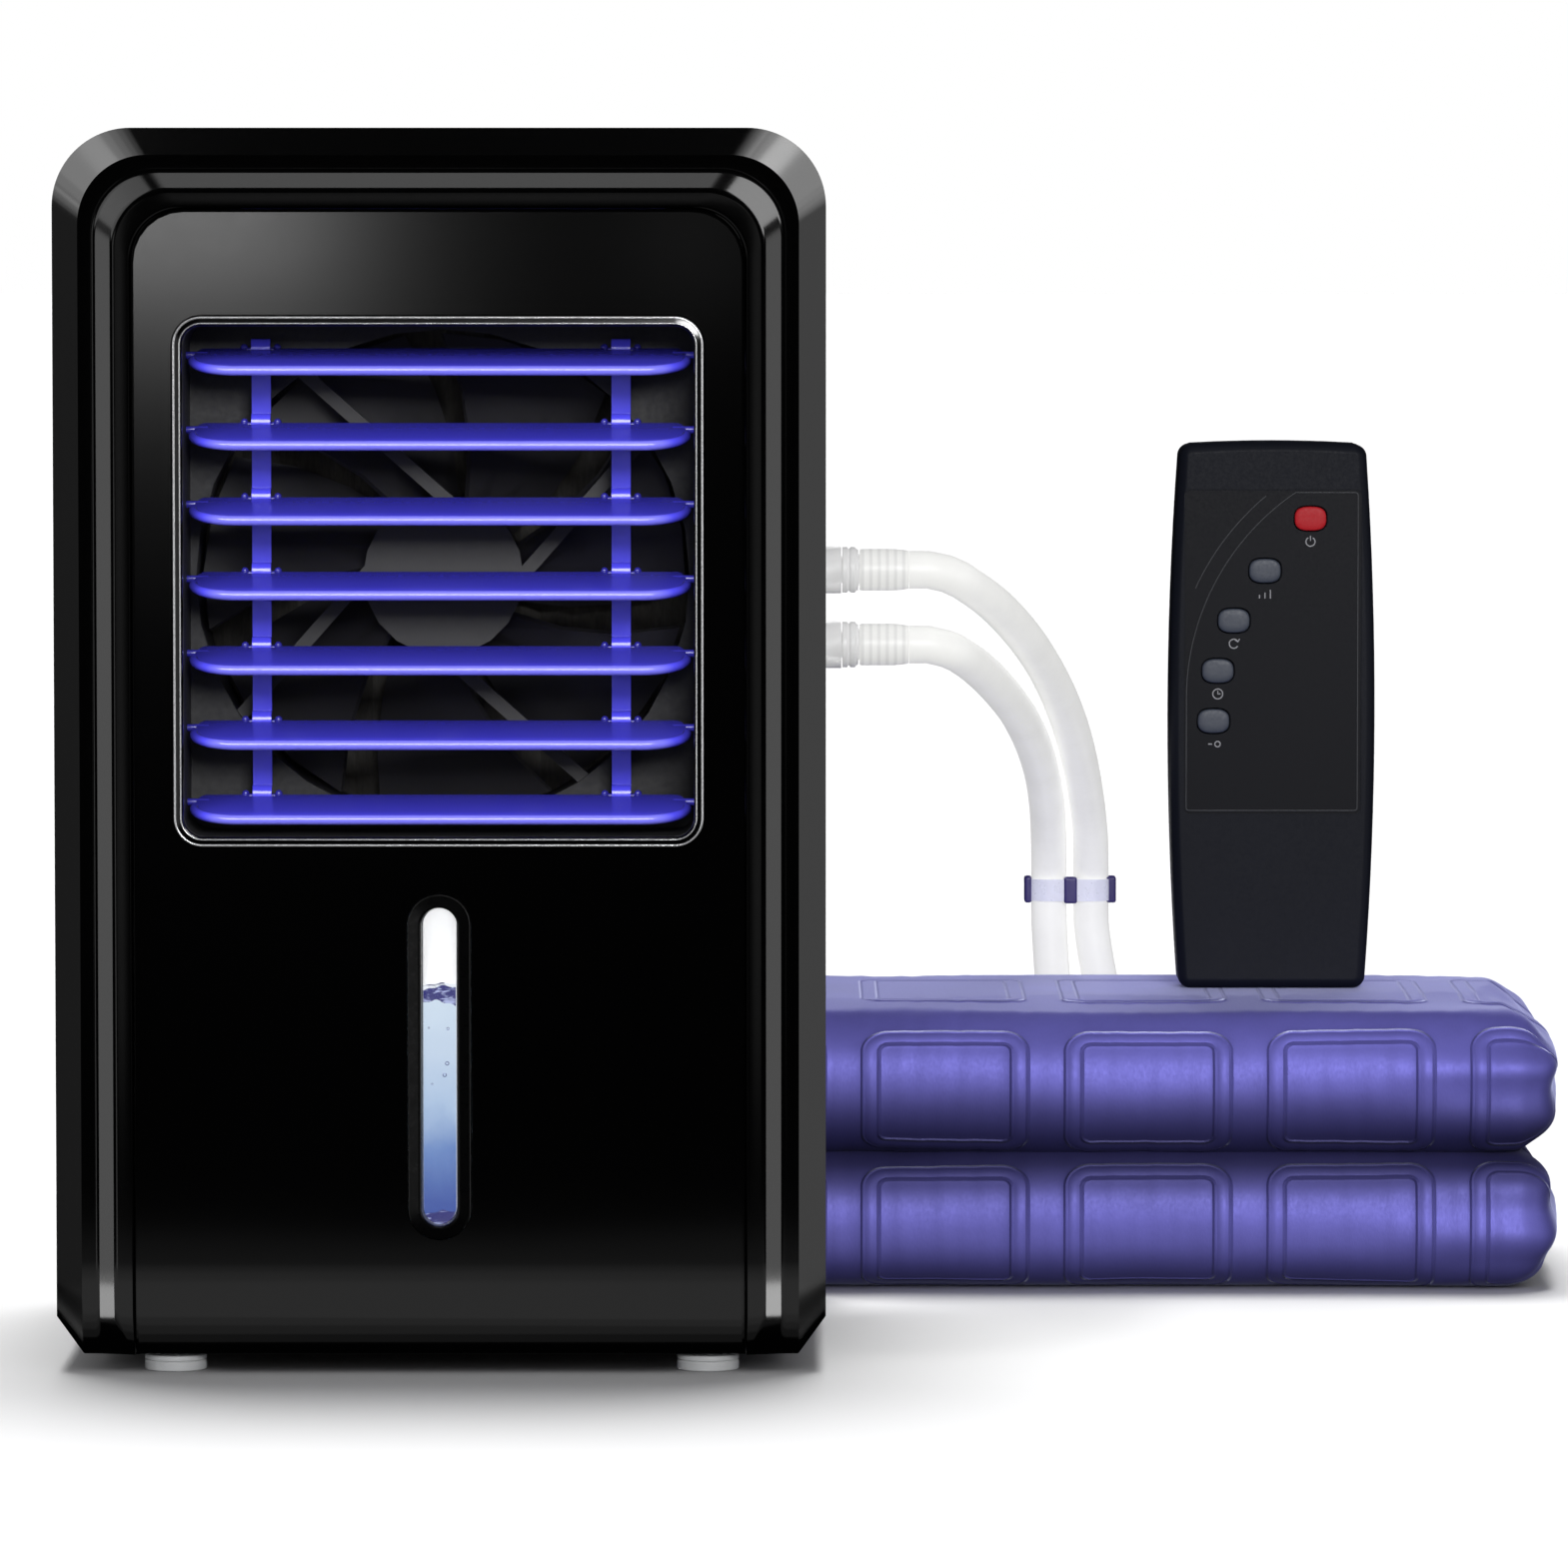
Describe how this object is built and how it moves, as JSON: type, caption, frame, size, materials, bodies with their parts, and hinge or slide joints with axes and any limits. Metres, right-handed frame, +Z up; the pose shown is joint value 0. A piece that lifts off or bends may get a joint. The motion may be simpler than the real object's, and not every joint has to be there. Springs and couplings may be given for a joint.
{
  "type": "water cooling mattress pad",
  "caption": "Cooling tower with tilting louvers, fan, water tank and level window, joined by two coiled hoses to a folded channelled mattress pad, with a remote control.",
  "frame": {"origin": "on the floor, under the middle of the bounds of everything but the free hoses", "axes": "+X to the right as seen from the louvers, +Y from the louvers to the back, +Z up"},
  "size_m": [0.379, 0.4288, 0.3],
  "materials": {
    "gloss_black": "polished black",
    "satin_black": "satin black",
    "dark_plastic": "matt dark grey",
    "louver_blue": "glossy blue-violet",
    "clear_plastic": "clear",
    "tank_plastic": "clear blue tint",
    "foot_rubber": "light grey, matt",
    "hose_plastic": "milky and translucent",
    "pad_fabric": "satin blue-violet",
    "remote_black": "satin near-black",
    "key_grey": "matt grey",
    "key_red": "matt red",
    "board_green": "green lacquer",
    "wick_paper": "rough fibre",
    "screw_steel": "plain steel"
  },
  "bodies": {
    "base": {"housing_shell": "gloss_black", "front_frame": "gloss_black", "front_panel": "gloss_black", "grille_trim": "gloss_black", "louver_cassette": "satin_black", "rear_cover": "satin_black", "window_bezel": "satin_black", "window_lens": "clear_plastic", "water_tank": "tank_plastic", "fan_frame": "dark_plastic", "evaporative_pad": "wick_paper", "circulation_pump": "dark_plastic", "control_board": "board_green", "control_panel": "satin_black", "fill_chute": "dark_plastic", "port_upper": "clear_plastic", "port_lower": "clear_plastic", "power_inlet": "satin_black", "fill_lid_pin": "screw_steel", "coupling_upper": "clear_plastic", "coupling_lower": "clear_plastic", "hose_clip": "louver_blue", "hose_upper": "hose_plastic", "hose_lower": "hose_plastic", "hose_upper_coil": "hose_plastic", "hose_lower_coil": "hose_plastic", "cooling_pad": "pad_fabric", "pad_port_1": "hose_plastic", "pad_port_2": "hose_plastic", "foot_1": "foot_rubber", "rear_screw_1": "screw_steel", "foot_2": "foot_rubber", "rear_screw_2": "screw_steel", "foot_3": "foot_rubber", "rear_screw_3": "screw_steel", "foot_4": "foot_rubber", "rear_screw_4": "screw_steel"},
    "slat_1": {"louver_1": "louver_blue"},
    "slat_2": {"louver_2": "louver_blue"},
    "slat_3": {"louver_3": "louver_blue"},
    "slat_4": {"louver_4": "louver_blue"},
    "slat_5": {"louver_5": "louver_blue"},
    "slat_6": {"louver_6": "louver_blue"},
    "slat_7": {"louver_7": "louver_blue"},
    "bar_left": {"link_bar_left": "louver_blue"},
    "bar_right": {"link_bar_right": "louver_blue"},
    "rotor": {"fan_rotor": "dark_plastic"},
    "lid": {"fill_lid": "gloss_black"},
    "top_button_1": {"panel_button_1": "satin_black"},
    "top_button_2": {"panel_button_2": "satin_black"},
    "top_button_3": {"panel_button_3": "satin_black"},
    "top_button_4": {"panel_button_4": "satin_black"},
    "remote": {"remote_front_shell": "remote_black", "remote_back_shell": "remote_black"},
    "battery_door": {"remote_battery_cover": "remote_black"},
    "remote_key_1": {"remote_button_1": "key_red"},
    "remote_key_2": {"remote_button_2": "key_grey"},
    "remote_key_3": {"remote_button_3": "key_grey"},
    "remote_key_4": {"remote_button_4": "key_grey"},
    "remote_key_5": {"remote_button_5": "key_grey"}
  },
  "joints": [
    {"name": "louver_1_tilt", "type": "hinge", "parent": "base", "child": "slat_1", "pos_m": [-0.0965, -0.14165, 0.2453], "axis": [1, 0, 0], "range_deg": [-40, 10]},
    {"name": "louver_2_tilt", "type": "hinge", "parent": "base", "child": "slat_2", "pos_m": [-0.0965, -0.14165, 0.2273], "axis": [1, 0, 0], "range_deg": [-40, 10]},
    {"name": "louver_3_tilt", "type": "hinge", "parent": "base", "child": "slat_3", "pos_m": [-0.0965, -0.14165, 0.2093], "axis": [1, 0, 0], "range_deg": [-40, 10]},
    {"name": "louver_4_tilt", "type": "hinge", "parent": "base", "child": "slat_4", "pos_m": [-0.0965, -0.14165, 0.1913], "axis": [1, 0, 0], "range_deg": [-40, 10]},
    {"name": "louver_5_tilt", "type": "hinge", "parent": "base", "child": "slat_5", "pos_m": [-0.0965, -0.14165, 0.1733], "axis": [1, 0, 0], "range_deg": [-40, 10]},
    {"name": "louver_6_tilt", "type": "hinge", "parent": "base", "child": "slat_6", "pos_m": [-0.0965, -0.14165, 0.1553], "axis": [1, 0, 0], "range_deg": [-40, 10]},
    {"name": "louver_7_tilt", "type": "hinge", "parent": "base", "child": "slat_7", "pos_m": [-0.0965, -0.14165, 0.1373], "axis": [1, 0, 0], "range_deg": [-40, 10]},
    {"name": "link_bar_left_pivot", "type": "hinge", "parent": "slat_1", "child": "bar_left", "pos_m": [-0.14, -0.13721, 0.24649], "axis": [1, 0, 0], "range_deg": [-10, 40]},
    {"name": "link_bar_right_pivot", "type": "hinge", "parent": "slat_1", "child": "bar_right", "pos_m": [-0.053, -0.13721, 0.24649], "axis": [1, 0, 0], "range_deg": [-10, 40]},
    {"name": "fan_spin", "type": "hinge", "parent": "base", "child": "rotor", "pos_m": [-0.0965, -0.12025, 0.1913], "axis": [0, 1, 0], "continuous": true},
    {"name": "fill_lid_hinge", "type": "hinge", "parent": "base", "child": "lid", "pos_m": [-0.0965, -0.02475, 0.2979], "axis": [-1, 0, 0], "range_deg": [0, 85]},
    {"name": "panel_button_1_press", "type": "slide", "parent": "base", "child": "top_button_1", "axis": [0, 0, -1], "range_m": [0, 0.0008], "stiffness_N_per_m": 1000},
    {"name": "panel_button_2_press", "type": "slide", "parent": "base", "child": "top_button_2", "axis": [0, 0, -1], "range_m": [0, 0.0008], "stiffness_N_per_m": 1000},
    {"name": "panel_button_3_press", "type": "slide", "parent": "base", "child": "top_button_3", "axis": [0, 0, -1], "range_m": [0, 0.0008], "stiffness_N_per_m": 1000},
    {"name": "panel_button_4_press", "type": "slide", "parent": "base", "child": "top_button_4", "axis": [0, 0, -1], "range_m": [0, 0.0008], "stiffness_N_per_m": 1000},
    {"name": "remote_lift", "type": "slide", "parent": "base", "child": "remote", "axis": [0, 0, 1], "range_m": [0, 0.1]},
    {"name": "remote_button_1_press", "type": "slide", "parent": "remote", "child": "remote_key_1", "axis": [0, 1, 0], "range_m": [0, 0.0008], "stiffness_N_per_m": 1000},
    {"name": "remote_button_2_press", "type": "slide", "parent": "remote", "child": "remote_key_2", "axis": [0, 1, 0], "range_m": [0, 0.0008], "stiffness_N_per_m": 1000},
    {"name": "remote_button_3_press", "type": "slide", "parent": "remote", "child": "remote_key_3", "axis": [0, 1, 0], "range_m": [0, 0.0008], "stiffness_N_per_m": 1000},
    {"name": "remote_button_4_press", "type": "slide", "parent": "remote", "child": "remote_key_4", "axis": [0, 1, 0], "range_m": [0, 0.0008], "stiffness_N_per_m": 1000},
    {"name": "remote_button_5_press", "type": "slide", "parent": "remote", "child": "remote_key_5", "axis": [0, 1, 0], "range_m": [0, 0.0008], "stiffness_N_per_m": 1000},
    {"name": "battery_cover_hinge", "type": "hinge", "parent": "remote", "child": "battery_door", "pos_m": [0.1157, 0.09635, 0.08865], "axis": [-1, 0, 0], "range_deg": [0, 80]}
  ],
  "couplings": [
    {"joint": "louver_2_tilt", "follows": "louver_1_tilt", "ratio": 1},
    {"joint": "louver_3_tilt", "follows": "louver_1_tilt", "ratio": 1},
    {"joint": "louver_4_tilt", "follows": "louver_1_tilt", "ratio": 1},
    {"joint": "louver_5_tilt", "follows": "louver_1_tilt", "ratio": 1},
    {"joint": "louver_6_tilt", "follows": "louver_1_tilt", "ratio": 1},
    {"joint": "louver_7_tilt", "follows": "louver_1_tilt", "ratio": 1},
    {"joint": "link_bar_left_pivot", "follows": "louver_1_tilt", "ratio": -1},
    {"joint": "link_bar_right_pivot", "follows": "louver_1_tilt", "ratio": -1}
  ]
}
